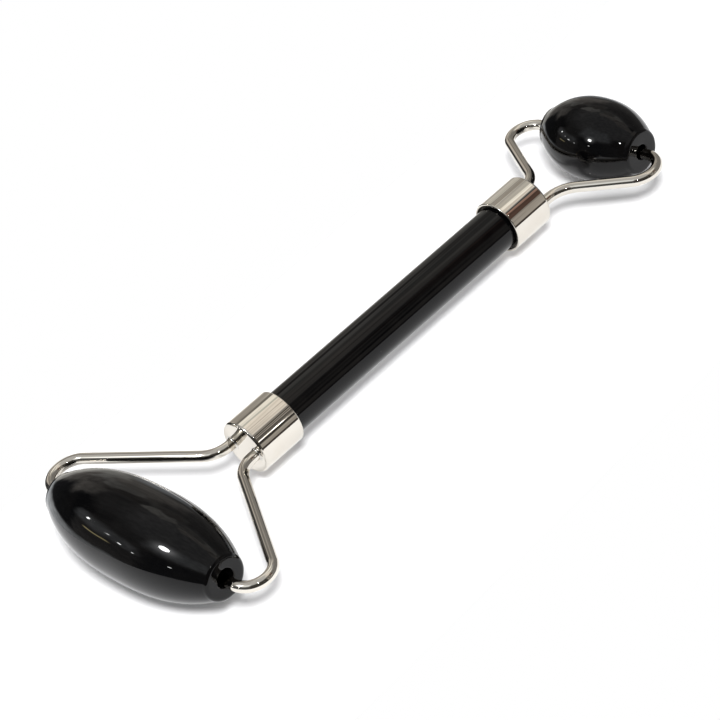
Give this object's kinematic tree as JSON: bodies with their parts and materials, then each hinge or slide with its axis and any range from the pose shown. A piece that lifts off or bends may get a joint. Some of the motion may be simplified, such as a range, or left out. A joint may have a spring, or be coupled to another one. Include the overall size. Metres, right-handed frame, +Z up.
{
  "type": "stone face roller",
  "caption": "Double-ended facial massage roller: polished black stone barrels turning on bent plated wire forks, held in ferrules on a round stone handle.",
  "frame": {"origin": "midway along the object, under its middle, on the surface that the stone barrels rest on", "axes": "+X runs along the handle from the large roller to the small one, +Y is along the rollers' axes, +Z is up"},
  "size_m": [0.145, 0.0606, 0.0185],
  "materials": {
    "black_stone": "polished to a mirror gloss, near-black",
    "bright_plate": "bright nickel plate, slightly warm, mirror polished",
    "solder": "dull cast solder",
    "cured_glue": "cured clear-amber epoxy"
  },
  "bodies": {
    "handle": {"handle_rod": "black_stone", "large_end_ferrule": "bright_plate", "small_end_ferrule": "bright_plate", "large_end_adhesive": "cured_glue", "small_end_adhesive": "cured_glue", "large_fork_left_arm": "bright_plate", "large_fork_right_arm": "bright_plate", "small_fork_left_arm": "bright_plate", "small_fork_right_arm": "bright_plate", "large_fork_left_solder": "solder", "large_fork_right_solder": "solder", "small_fork_left_solder": "solder", "small_fork_right_solder": "solder"},
    "large_roller": {"large_roller_stone": "black_stone"},
    "small_roller": {"small_roller_stone": "black_stone"}
  },
  "joints": [
    {"name": "large_roller_spin", "type": "hinge", "parent": "handle", "child": "large_roller", "pos_m": [-0.06323, 0, 0.00927], "axis": [0, 1, 0], "continuous": true},
    {"name": "small_roller_spin", "type": "hinge", "parent": "handle", "child": "small_roller", "pos_m": [0.06396, 0, 0.00854], "axis": [0, 1, 0], "continuous": true}
  ]
}
